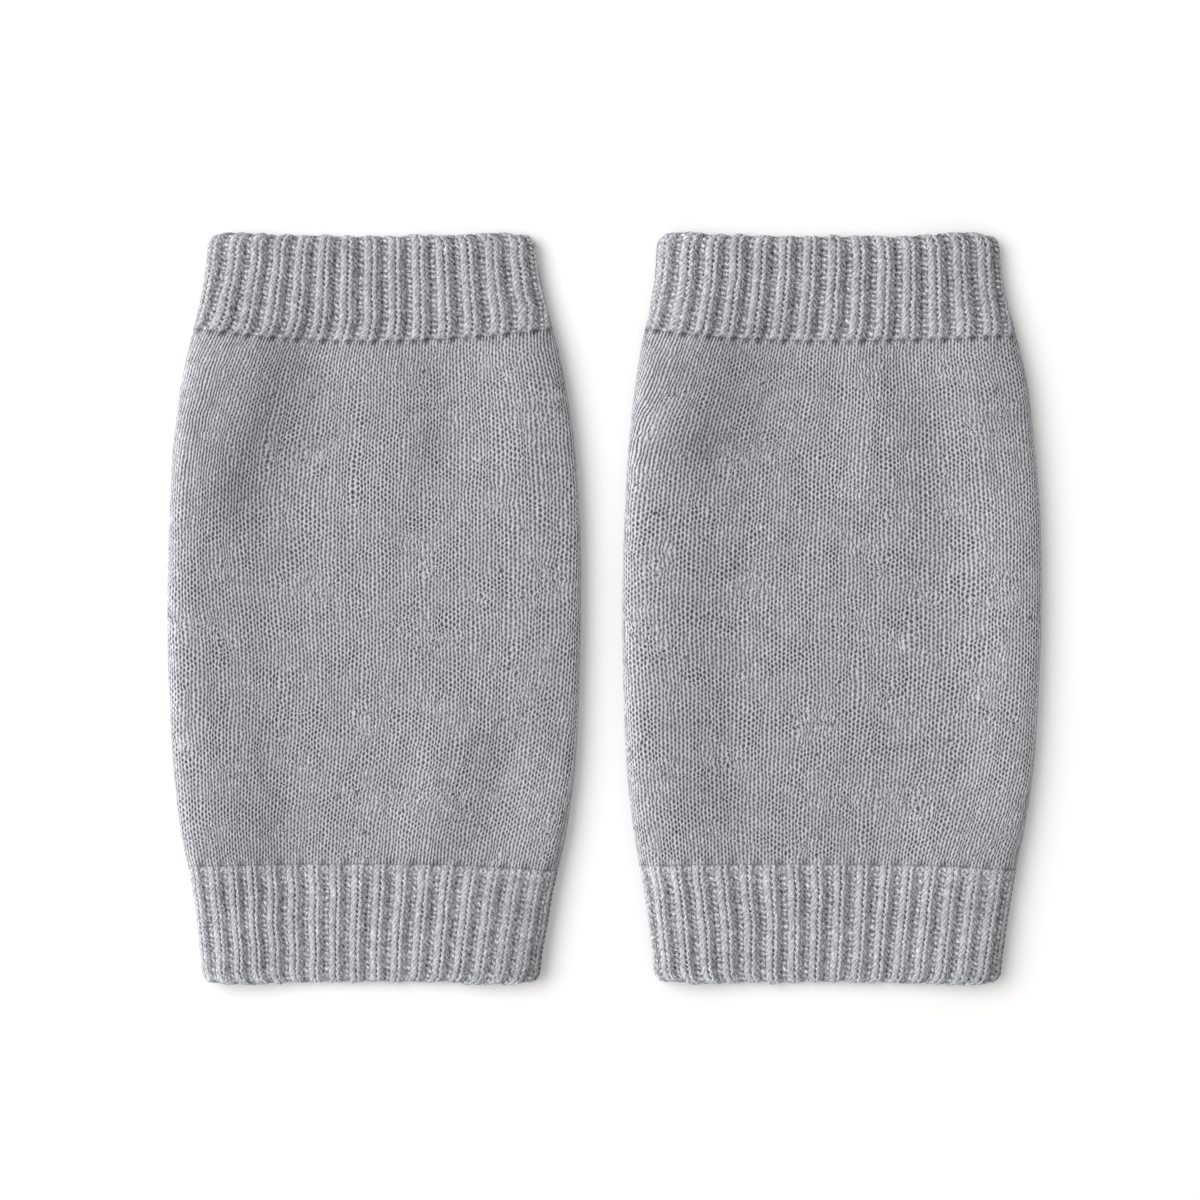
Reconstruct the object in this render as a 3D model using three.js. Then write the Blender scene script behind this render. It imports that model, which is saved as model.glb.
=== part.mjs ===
// A pair of knitted baby knee pads, laid flat side by side on a table.
// Each pad is one knitted tube: a plain-knit body between a ribbed cuff at the thigh and one at the calf.
// Its front layer lies on its back layer, with a soft rounded fold down each side.
// Millimetres, +Z up. The origin is on the table, under the middle of the pair; +Y runs to the thigh ends.
import * as THREE from 'three';

// Driving dimensions
const BODY_WALL = 1.4; // plain knit is the thinner fabric
const CUFF_WALL = 1.8; // rib stands thicker
const JOIN_GAP = 0.3; // clear space where a cuff meets the body
const THIGH_EDGE = 80.9; // distances along Y, on the middle of a pad
const THIGH_JOIN = 57.9;
const CALF_JOIN = -55.4;
const CALF_EDGE = -81.2;
const CORNER = 3.4; // the free edges of the cuffs end in rounded corners
const FOLD_ROUNDING = 4; // how sharply the front layer rises towards its side folds

// Steps of the mesh
const CUFF_STATIONS = 4;
const BODY_STATIONS = 12;
const CORNER_STEPS = [0, 0.12, 0.45, 1]; // shares of a corner's radius, from the free edge
const UNDERSIDE_STEPS = 8;
const FRONT_STEPS = 16;
const FOLD_STEPS = 6;

// One row for each section across a pad, from the calf end to the thigh end.
// left, right: how far the folds lie from the pad's middle line at that y.
// riseLeft, riseRight: how far a course of stitches has crept up (+) or down (-) where it meets the fold.
// side, middle: height of the front layer next to the folds, and on the middle line.
const SECTION_COLUMNS = ['y', 'left', 'right', 'riseLeft', 'riseRight', 'side', 'middle'];
const LEFT_SECTIONS = [
  [-82.0, 36.9, 35.9, 0.0, -0.3, 4.6, 4.3],
  [-72.0, 38.0, 37.4, -0.2, -0.7, 4.7, 4.3],
  [-60.0, 39.5, 39.5, -0.3, -1.3, 4.8, 4.3],
  [-50.0, 41.6, 41.7, -0.4, -1.4, 5.0, 4.4],
  [-37.0, 43.2, 43.6, -0.1, -1.0, 5.1, 4.4],
  [-20.0, 44.3, 44.6, 0.3, -0.3, 5.2, 4.3],
  [2.0, 44.7, 45.1, 0.9, 0.6, 5.2, 4.2],
  [24.0, 44.1, 44.7, 1.5, 1.4, 5.2, 4.3],
  [38.0, 43.2, 43.4, 2.0, 2.0, 5.1, 4.4],
  [50.0, 41.6, 41.6, 2.4, 2.5, 5.0, 4.4],
  [59.0, 39.4, 39.5, 2.6, 2.6, 4.8, 4.3],
  [68.0, 37.4, 37.1, 1.9, 1.9, 4.7, 4.3],
  [82.0, 36.0, 34.5, 0.5, 0.6, 4.6, 4.3],
];
const RIGHT_SECTIONS = [
  [-82.0, 38.3, 36.2, 0.0, -0.3, 4.6, 4.3],
  [-72.0, 39.3, 37.6, -0.2, -0.6, 4.7, 4.3],
  [-60.0, 41.0, 39.4, -0.3, -1.1, 4.8, 4.3],
  [-50.0, 42.8, 41.4, -0.2, -1.2, 5.0, 4.4],
  [-37.0, 44.4, 43.5, 0.0, -0.9, 5.1, 4.4],
  [-20.0, 45.2, 44.8, 0.3, -0.4, 5.2, 4.3],
  [2.0, 45.5, 45.5, 0.9, 0.1, 5.2, 4.2],
  [24.0, 44.8, 45.0, 1.4, 0.5, 5.2, 4.3],
  [38.0, 43.9, 43.7, 1.9, 0.8, 5.1, 4.4],
  [50.0, 42.5, 42.3, 2.2, 1.0, 5.0, 4.4],
  [59.0, 41.0, 40.2, 2.4, 1.1, 4.8, 4.3],
  [68.0, 39.2, 37.7, 1.7, 0.9, 4.7, 4.3],
  [82.0, 38.0, 36.0, 0.6, 0.5, 4.6, 4.3],
];

// The largest soft folds of the front layer, one row each, from (x1, y1) to (x2, y2) about the pad's middle.
// rise is the height of a ridge (+) or the depth of a trough (-); width is from its crest to where it ends.
const FOLD_COLUMNS = ['x1', 'y1', 'x2', 'y2', 'width', 'rise'];
const LEFT_FOLDS = [
  [-9, 55, -25, 18, 9, -0.8],
  [17, 53, 13, 30, 8, -0.7],
  [-20, -34, -21, -54, 8, -0.6],
  [11, -22, 5, -50, 9, 0.5],
  [26, -28, 19, -54, 8, -0.6],
];
const RIGHT_FOLDS = [
  [-14, 56, -25, 32, 9, -0.8],
  [-24, 20, -22, -52, 7, -0.4],
  [15, 54, 24, 20, 9, -0.6],
  [31, 52, 33, -48, 8, 0.4],
];

const HEATHER_GREY = new THREE.Color().setRGB(0.62, 0.63, 0.64, THREE.SRGBColorSpace);
const RIB_GREY = new THREE.Color().setRGB(0.61, 0.62, 0.63, THREE.SRGBColorSpace);

const PADS = [
  { name: 'left', middle: -50.1, sections: LEFT_SECTIONS, folds: LEFT_FOLDS },
  { name: 'right', middle: 49.3, sections: RIGHT_SECTIONS, folds: RIGHT_FOLDS },
];

// The columns of a pad's sections as smooth curves over y.
function smoothColumns(rows) {
  const ys = rows.map((row) => row[0]);
  const curves = {};
  SECTION_COLUMNS.slice(1).forEach((column, k) => {
    const values = rows.map((row) => row[k + 1]);
    const curve = new THREE.CubicInterpolant(ys, values, 1, new Float64Array(1));
    curves[column] = (y) => curve.evaluate(y)[0];
  });
  return curves;
}

// A trough or ridge: a smooth bump across its line, fading out over its own width at both ends.
function foldHeight(folds, x, y) {
  let height = 0;
  for (const row of folds) {
    const fold = Object.fromEntries(FOLD_COLUMNS.map((column, k) => [column, row[k]]));
    const start = new THREE.Vector2(fold.x1, fold.y1);
    const along = new THREE.Vector2(fold.x2, fold.y2).sub(start);
    const point = new THREE.Vector2(x, y).sub(start);
    const share = THREE.MathUtils.clamp(point.dot(along) / along.lengthSq(), 0, 1);
    const distance = point.sub(along.multiplyScalar(share)).length() / fold.width;
    height += fold.rise * Math.exp(-2 * distance * distance);
  }
  return height;
}

// How far a rounded corner has come in, at a distance from the free edge.
function cornerInset(distance) {
  if (distance >= CORNER) {
    return 0;
  }
  const short = CORNER - distance;
  return CORNER - Math.sqrt(CORNER * CORNER - short * short);
}

// One ring of points round a pad at a station, for the outer face (inset 0) or the inner face (inset = wall).
function ring(pad, station, inset) {
  const { curves } = pad;
  const { y, corner } = station;
  const riseLeft = curves.riseLeft(y);
  const riseRight = curves.riseRight(y);
  const left = -curves.left(y + riseLeft) + corner;
  const right = curves.right(y + riseRight) - corner;
  const side = curves.side(y);
  const radius = side / 2;
  const small = radius - inset;
  const flatLeft = left + radius;
  const flatRight = right - radius;
  const points = [];
  const add = (x, z) => {
    const rise = x < 0 ? riseLeft * (x / left) ** 2 : riseRight * (x / right) ** 2;
    points.push(new THREE.Vector3(pad.middle + x, y + rise, z));
  };
  for (let i = 0; i < UNDERSIDE_STEPS; i += 1) {
    add(THREE.MathUtils.lerp(flatLeft, flatRight, i / UNDERSIDE_STEPS), inset);
  }
  for (let i = 0; i < FOLD_STEPS; i += 1) {
    const turn = (Math.PI * i) / FOLD_STEPS;
    add(flatRight + small * Math.sin(turn), radius - small * Math.cos(turn));
  }
  for (let i = 0; i < FRONT_STEPS; i += 1) {
    const x = THREE.MathUtils.lerp(flatRight, flatLeft, i / FRONT_STEPS);
    const reach = 2 * (i / FRONT_STEPS) - 1;
    const sag = (curves.middle(y) - side) * (1 - Math.abs(reach) ** FOLD_ROUNDING);
    const folds = foldHeight(pad.folds, x, y) * (1 - reach ** FOLD_ROUNDING);
    add(x, side + sag + folds - inset);
  }
  for (let i = 0; i < FOLD_STEPS; i += 1) {
    const turn = (Math.PI * i) / FOLD_STEPS;
    add(flatLeft - small * Math.sin(turn), radius + small * Math.cos(turn));
  }
  return points;
}

// An open tube with a wall: an outer and an inner face through all stations, closed by a rim at each end.
function tubeWall(pad, stations, wall) {
  const outer = stations.map((station) => ring(pad, station, 0));
  const inner = stations.map((station) => ring(pad, station, wall));
  const around = outer[0].length;
  const last = stations.length - 1;
  const layer = stations.length * around;
  const positions = [...outer, ...inner].flat().flatMap((point) => point.toArray());
  const triangles = [];
  const quad = (a, b, c, d) => triangles.push(a, b, c, a, c, d);
  for (let i = 0; i < around; i += 1) {
    const next = (i + 1) % around;
    for (let j = 0; j < last; j += 1) {
      const here = j * around;
      const beyond = here + around;
      quad(here + i, beyond + i, beyond + next, here + next);
      quad(layer + here + next, layer + beyond + next, layer + beyond + i, layer + here + i);
    }
    const end = last * around;
    quad(i, next, layer + next, layer + i);
    quad(end + next, end + i, layer + end + i, layer + end + next);
  }
  const geometry = new THREE.BufferGeometry();
  geometry.setAttribute('position', new THREE.Float32BufferAttribute(positions, 3));
  geometry.setIndex(triangles);
  geometry.computeVertexNormals();
  return geometry;
}

// Evenly spaced stations from y1 up to y2, with none of a cuff's corners.
function evenStations(y1, y2, count) {
  return Array.from({ length: count + 1 }, (_, i) => ({
    y: THREE.MathUtils.lerp(y1, y2, i / count),
    corner: 0,
  }));
}

// Stations of a cuff, from its join to its free edge: even ones, then close ones round the corners.
function cuffStations(join, edge) {
  const outward = Math.sign(edge - join);
  const even = evenStations(join, edge - outward * CORNER, CUFF_STATIONS).slice(0, -1);
  const corners = [...CORNER_STEPS].reverse().map((share) => ({
    y: edge - outward * share * CORNER,
    corner: cornerInset(share * CORNER),
  }));
  const stations = [...even, ...corners];
  return outward > 0 ? stations : stations.reverse();
}

function fabric(color) {
  return new THREE.MeshStandardMaterial({ color, roughness: 0.95, metalness: 0 });
}

function addPiece(group, name, geometry, color) {
  const mesh = new THREE.Mesh(geometry, fabric(color));
  mesh.name = name;
  group.add(mesh);
}

const half = JOIN_GAP / 2;
const kneePads = new THREE.Group();
for (const pad of PADS) {
  pad.curves = smoothColumns(pad.sections);
  const body = evenStations(CALF_JOIN + half, THIGH_JOIN - half, BODY_STATIONS);
  const thigh = cuffStations(THIGH_JOIN + half, THIGH_EDGE);
  const calf = cuffStations(CALF_JOIN - half, CALF_EDGE);
  addPiece(kneePads, `${pad.name}_thigh_cuff`, tubeWall(pad, thigh, CUFF_WALL), RIB_GREY);
  addPiece(kneePads, `${pad.name}_body`, tubeWall(pad, body, BODY_WALL), HEATHER_GREY);
  addPiece(kneePads, `${pad.name}_calf_cuff`, tubeWall(pad, calf, CUFF_WALL), RIB_GREY);
}

export default kneePads;
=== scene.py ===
"""A pair of knitted baby knee pads, laid flat on a pale table: plain-knit bodies between ribbed cuffs."""

import math

import bpy
import numpy as np
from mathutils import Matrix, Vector
from mathutils.bvhtree import BVHTree


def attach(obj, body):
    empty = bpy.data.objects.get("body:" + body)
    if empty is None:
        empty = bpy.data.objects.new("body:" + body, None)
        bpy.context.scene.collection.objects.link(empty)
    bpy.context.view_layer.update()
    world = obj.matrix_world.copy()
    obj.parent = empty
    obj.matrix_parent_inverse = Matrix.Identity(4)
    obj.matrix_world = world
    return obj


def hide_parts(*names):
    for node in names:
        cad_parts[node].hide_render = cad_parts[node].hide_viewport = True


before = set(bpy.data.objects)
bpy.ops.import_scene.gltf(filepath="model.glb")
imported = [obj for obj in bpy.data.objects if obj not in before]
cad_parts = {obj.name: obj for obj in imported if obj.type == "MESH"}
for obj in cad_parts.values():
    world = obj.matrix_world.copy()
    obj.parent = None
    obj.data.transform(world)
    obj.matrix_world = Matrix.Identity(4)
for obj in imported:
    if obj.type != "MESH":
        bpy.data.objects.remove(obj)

for default in ("Cube", "Light", "Camera"):
    if default in bpy.data.objects:
        bpy.data.objects.remove(bpy.data.objects[default])
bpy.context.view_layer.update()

# Sizes in millimetres; the scene itself is in metres.
MM = 0.001
PADS = ("left", "right")
STRETCHES = ("calf_cuff", "body", "thigh_cuff")
CORNER = 3.4  # the radius of the free edges' corners
JOIN_REACH = 0.14  # how far each stretch goes on into the gap at a join, so that the cloth meets there

# The knitting: wales run up the pad and courses run round it.
WALES_ROUND = 120
BODY_COURSES = 102
FINE_WALES = (30, 90)  # the body's wales meshed finely: the front layer and both folds
RIB_REPEATS = {"thigh_cuff": 29, "calf_cuff": 35}
RIB_COURSES = {"thigh_cuff": 19, "calf_cuff": 21}
# How far each cuff's ribs are turned round the tube, in repeats.
RIB_PHASES = {
    "left_thigh_cuff": 0.55, "left_calf_cuff": 0.77,
    "right_thigh_cuff": 0.03, "right_calf_cuff": 0.47,
}

# Plain knit, one row (place, sway, open, shut) for each line of points up a wale: its place in the wale,
# the way it leans, and its heights in the two rows of a course, which alternate.
STRAND_SWAY = 0.085  # of a wale
PLAIN = [
    (0.000, 0, -0.45, -0.15),
    (0.165, 1, -0.04, -0.04),
    (0.335, 1, -0.04, -0.04),
    (0.500, 0, -0.15, -0.45),
    (0.665, -1, -0.04, -0.04),
    (0.835, -1, -0.04, -0.04),
]
# The back of the body, where it lies on the table.
PLAIN_BACK = [
    (0.000, 0, -0.34, -0.34),
    (0.500, 0, -0.02, -0.02),
]

# Rib, one row (share, height, sway, bead, beat) for each line of points up a repeat: its place in the
# repeat, its height from the crest, how far it sways in shares of a repeat, how much it rises and falls
# in a course, and when in the course it does.
RIB = [
    (0.000, -0.60, 0.008, 0.14, 0.50),  # bumps beside the trough
    (0.045, -0.48, 0.012, 0.16, 0.50),
    (0.090, -0.50, 0.008, 0.14, 0.50),
    (0.130, -0.58, 0.000, 0.16, 0.00),  # small holes
    (0.175, -0.20, -0.010, 0.08, 0.97),  # wide ridge, a chain of V stitches
    (0.225, -0.05, -0.010, 0.10, 0.20),
    (0.290, -0.14, 0.000, 0.10, 0.50),
    (0.350, -0.14, 0.004, 0.10, 0.22),
    (0.410, -0.26, 0.006, 0.08, 0.95),
    (0.465, -0.66, 0.010, 0.22, 0.00),  # large holes
    (0.510, -0.22, 0.026, 0.07, 0.50),  # narrow ridge, which winds from side to side
    (0.560, -0.06, 0.028, 0.08, 0.50),
    (0.620, -0.26, 0.026, 0.07, 0.50),
    (0.685, -0.64, 0.000, 0.08, 0.00),  # trough
    (0.750, -0.80, 0.004, 0.14, 0.50),
    (0.820, -0.86, 0.000, 0.14, 0.00),
    (0.890, -0.92, 0.000, 0.16, 0.50),
    (0.950, -0.96, 0.000, 0.24, 0.00),  # round holes
]
RIB_ROWS = 4  # rows of points in each course of rib
JOIN_DEPTH = 0.45  # how deep the rib's relief is at its join, as a share of its full depth
LIP_TURNS = (15, 35, 55, 75, 95, 115, 140, 165)  # degrees round the lip of a free edge

# The side folds stand plump: how much higher than the flat of the cloth, how wide, how softly they end.
# Towards the thigh they stand lower, and RIM_SINK says by what share, from which y and over how far.
RIM_RISE = 1.4
RIM_FLAT = 4.0
RIM_FALL = 8.0
RIM_SINK = 0.6
SINK_FROM = 50
SINK_OVER = 20

# Soft creases of the front layer, rows of (x1, y1, x2, y2, width, rise): a ridge (+) or a trough (-) from
# (x1, y1) to (x2, y2) about the pad's middle, with its width from crest to foot.
CREASES = {
    "left": [
        (-11, 56, -24, 22, 9, -0.8), (-24, 54, -33, 26, 7, 0.4), (15, 56, 18, 36, 8, -0.5),
        (18, 36, 10, 14, 8, -0.4), (-19, -34, -19, -56, 8, -0.5), (17, -22, 10, -50, 8, 0.5),
        (30, -26, 22, -56, 7, -0.5),
    ],
    "right": [
        (-14, 57, -24, 34, 10, -0.8), (-24, 34, -21, -54, 9, -0.4), (12, 56, 22, 38, 8, -0.5),
        (22, 38, 25, 8, 8, -0.4),
    ],
}

# Painted light (+) and painted shade (-) on the front layer, over creases and side folds: lines given in
# the same way.
PAINTED_SHADE_LINES = {
    "left": [
        (-18, 56, -30, 26, 8.5, -0.22), (-12, 50, -15, 34, 6, -0.12), (-19, 34, -22, 12, 7, -0.08),
        (-27, 22, -24, -28, 8, -0.08), (9, 50, 12, 36, 7, -0.07), (12, 36, 5, 18, 7, -0.05),
        (24, 55, 26, 34, 7, 0.06), (-10, 56, -9, 53, 7, 0.09), (0, 34, -3, 26, 7, 0.07),
        (-24, -35, -23, -54, 7, -0.09), (12, -26, 8, -50, 7, 0.10), (25, -28, 18, -52, 6, -0.08),
        (27, -32, 26, -54, 7, -0.06), (36, -28, 29, -52, 6, 0.05), (-38, 80, -40, 50, 8, 0.14),
        (-45, 55, -45, -54, 7, 0.32), (-41, 54, -44, 20, 3, 0.16), (-44, 20, -44, -20, 3, 0.18),
        (-44, -20, -40, -54, 3, 0.20), (44, 40, 44, -40, 3, 0.07), (-37, 68, -38, 20, 5, 0.05),
        (37, 58, 38, 50, 5, -0.07), (-37, -26, -36, -46, 5, 0.11), (-22, 56, -24, 40, 5, -0.06),
        (-21, -44, -21, -80, 6, -0.07), (-41, -58, -39, -80, 7, 0.22), (2, 72, 2, 62, 9, -0.06),
        (27, 80, 30, 66, 8, -0.10), (38, 80, 38, -30, 8, -0.12), (-29, -70, -29, -81, 7, 0.10),
        (34, -74, 34, -81, 5, -0.10), (29, -62, 28, -80, 9, -0.17), (41, -58, 38, -80, 9, -0.25),
        (40, -58, 36, -80, 3, -0.15),
    ],
    "right": [
        (-37, 80, -39, 40, 9, 0.16), (-38, 40, -38, -56, 8, 0.06), (-46, 55, -45, -54, 7, 0.33),
        (-42, 54, -45, 20, 3, 0.18), (-45, 20, -45, -20, 3, 0.18), (-45, -20, -42, -54, 3, 0.20),
        (44, 40, 44, -40, 3, 0.06), (-27, 70, -26, 62, 5, -0.07), (-21, 24, -20, 10, 5, -0.07),
        (-21, -74, -21, -81, 6, -0.07), (17, -60, 17, -72, 6, 0.06), (28, 10, 29, -10, 6, 0.05),
        (-35, 52, -36, 36, 6, -0.08), (-37, -38, -37, -48, 5, 0.08), (20, -50, 24, -60, 6, 0.05),
        (37, -74, 36, -81, 4, -0.08), (-41, -58, -40, -80, 7, 0.24), (-21, 57, -27, 36, 8, -0.18),
        (-18, 44, -18, 36, 5, -0.06), (-30, 80, -29, 62, 7, 0.08), (-30, -50, -29, -81, 7, 0.10),
        (-13, 53, -19, 30, 7, -0.12), (-26, 34, -25, -56, 8, -0.09), (6, 55, 4, 28, 8, 0.09),
        (26, 55, 28, 38, 7, 0.06), (9, 56, 20, 38, 7, -0.07), (20, 38, 22, 10, 7, -0.04),
        (33, 20, 34, -40, 8, 0.09), (19, -44, 19, -56, 6, 0.08), (28, 80, 31, 68, 8, -0.13),
        (39, 80, 39, 42, 9, -0.15), (45, 30, 44, -50, 7, -0.08), (31, -62, 30, -80, 9, -0.12),
        (41, -58, 38, -80, 9, -0.18), (40, -58, 36, -80, 3, -0.15), (40, 59, 36, 80, 3, -0.12),
    ],
}

# Where the body is drawn lengthwise, so that its holes close and its wales stand out: lines given in the
# same way, with the change of openness last.
DRAWN = {
    "left": [
        (-41, 58, -40, 30, 14, -0.60), (-28, 57, 34, 57, 10, -0.30), (40, 56, 42, 30, 10, -0.30),
        (8, -55, 40, -55, 10, -0.35),
    ],
    "right": [
        (-41, 58, -40, 34, 14, -0.65), (-28, 57, 30, 57, 9, -0.25), (42, 44, 42, 30, 9, -0.20),
        (-41, -55, -38, -44, 8, -0.30), (34, -55, 40, -44, 9, -0.40),
    ],
}

# How far the wales of the front layer have slid sideways at each y: rows of (y, millimetres).
SLIDES = {
    "left": (
        (-82, -4.3), (-55, -4.1), (-24, -0.7), (25, -0.4), (42, 0.9), (58, 2.5), (60.5, 3.3), (68, 4.1),
        (73.5, 4.8), (79, 5.3), (82, 5.4),
    ),
    "right": (
        (-82, -4.5), (-55, -4.2), (-30, -3.4), (25, -3.3), (44, -1.9), (58, 0.0), (60.5, 0.9), (63, 1.5),
        (68, 2.4), (73.5, 3.2), (79, 3.6), (82, 3.7),
    ),
}

# The same near one place only: its x from the middle, its width, and such rows.
DRAGS = {
    "left": [
        (-46, 20, ((34, 0), (58, 1.3), (68, 1.6), (82, 1.9))),
        (-27, 14, ((-10, 0), (22, -2.2), (34, -2.2), (58, 0))),
        (46, 15, ((-20, 0), (30, 3.0), (58, 1.9), (82, 1.9))),
        (-40, 15, ((-56, 2.8), (-26, 0))),
        (38, 20, ((-56, 0.9), (-26, 0))),
    ],
    "right": [
        (-41, 28, ((30, 0), (58, 2.0), (63, 1.5), (68, 1.2), (73.5, 0.85), (79, 0.55), (82, 0.4))),
        (-40, 12, ((-50, 0), (24, -2.8), (36, -2.6), (57, 0))),
        (-29, 19, ((-82, -1.1), (-56, -1.5), (20, -1.3), (50, 0))),
        (36, 16, ((-56, 0), (-38, 2.4), (-20, 3.2), (30, 3.0), (58, 0.6), (82, 0.5))),
        (22, 16, ((-82, 0), (-56, 0.5), (-40, 0))),
    ],
}

SEED = 7
rng = np.random.default_rng(SEED)


def smooth_line(xs, ys):
    """A smooth curve through points, as a function of x."""
    xs, ys = np.asarray(xs, float), np.asarray(ys, float)
    slopes = np.gradient(ys, xs)

    def at(x):
        x = np.clip(np.asarray(x, float), xs[0], xs[-1])
        i = np.clip(np.searchsorted(xs, x) - 1, 0, len(xs) - 2)
        span = xs[i + 1] - xs[i]
        t = (x - xs[i]) / span
        a, b = slopes[i] * span, slopes[i + 1] * span
        rest = ys[i + 1] - ys[i]
        return ys[i] + t * (a + t * (3 * rest - 2 * a - b + t * (a + b - 2 * rest)))

    return at


def blurred(grid, sigma, axis):
    """A grid of numbers, softened along one axis; its edges are held."""
    reach = int(3 * sigma) + 1
    weights = np.exp(-0.5 * (np.arange(-reach, reach + 1) / sigma) ** 2)
    weights /= weights.sum()
    pad = [(0, 0)] * grid.ndim
    pad[axis] = (reach, reach)
    wide = np.pad(grid, pad, mode="edge")
    return np.apply_along_axis(lambda line: np.convolve(line, weights, "valid"), axis, wide)


def looked_up(grid, rows, columns):
    """Values of a grid at fractional rows and columns."""
    rows = np.clip(rows, 0, grid.shape[0] - 1.001)
    columns = np.clip(columns, 0, grid.shape[1] - 1.001)
    r, c = rows.astype(int), columns.astype(int)
    fr, fc = rows - r, columns - c
    near = grid[r, c] * (1 - fc) + grid[r, c + 1] * fc
    far = grid[r + 1, c] * (1 - fc) + grid[r + 1, c + 1] * fc
    return near * (1 - fr) + far * fr


def soft_noise(rows, columns, row_scale, column_scale):
    """Smooth random numbers about 0, of size about 1, over rows and columns of points that close round."""
    tall = max(4, int(round(rows / row_scale)))
    wide = max(4, int(round(columns / column_scale)))
    seeds = rng.normal(size=(tall + 3, wide))
    seeds = np.hstack([seeds, seeds[:, :2]])
    r = np.linspace(0, tall, rows)[:, None] * np.ones((1, columns))
    c = np.linspace(0, wide, columns, endpoint=False)[None, :] * np.ones((rows, 1))
    fr, fc = r - np.floor(r), c - np.floor(c)
    r, c = r.astype(int), c.astype(int)
    fr, fc = fr * fr * (3 - 2 * fr), fc * fc * (3 - 2 * fc)
    near = seeds[r, c] * (1 - fc) + seeds[r, c + 1] * fc
    far = seeds[r + 1, c] * (1 - fc) + seeds[r + 1, c + 1] * fc
    return near * (1 - fr) + far * fr


def line_bumps(rows, x, y):
    """The sum of soft bumps along lines, one row of the table each: (x1, y1, x2, y2, width, size)."""
    total = np.zeros(np.broadcast(x, y).shape)
    for x1, y1, x2, y2, width, size in rows:
        along_x, along_y = x2 - x1, y2 - y1
        share = ((x - x1) * along_x + (y - y1) * along_y) / (along_x**2 + along_y**2)
        share = np.clip(share, 0, 1)
        away = np.hypot(x - x1 - share * along_x, y - y1 - share * along_y) / width
        total = total + size * np.exp(-2 * away * away)
    return total


def node_points(name):
    """The points of a CAD node, in millimetres."""
    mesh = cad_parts[name].data
    points = np.zeros(len(mesh.vertices) * 3, np.float32)
    mesh.vertices.foreach_get("co", points)
    return points.reshape(-1, 3).astype(float) / MM


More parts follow.
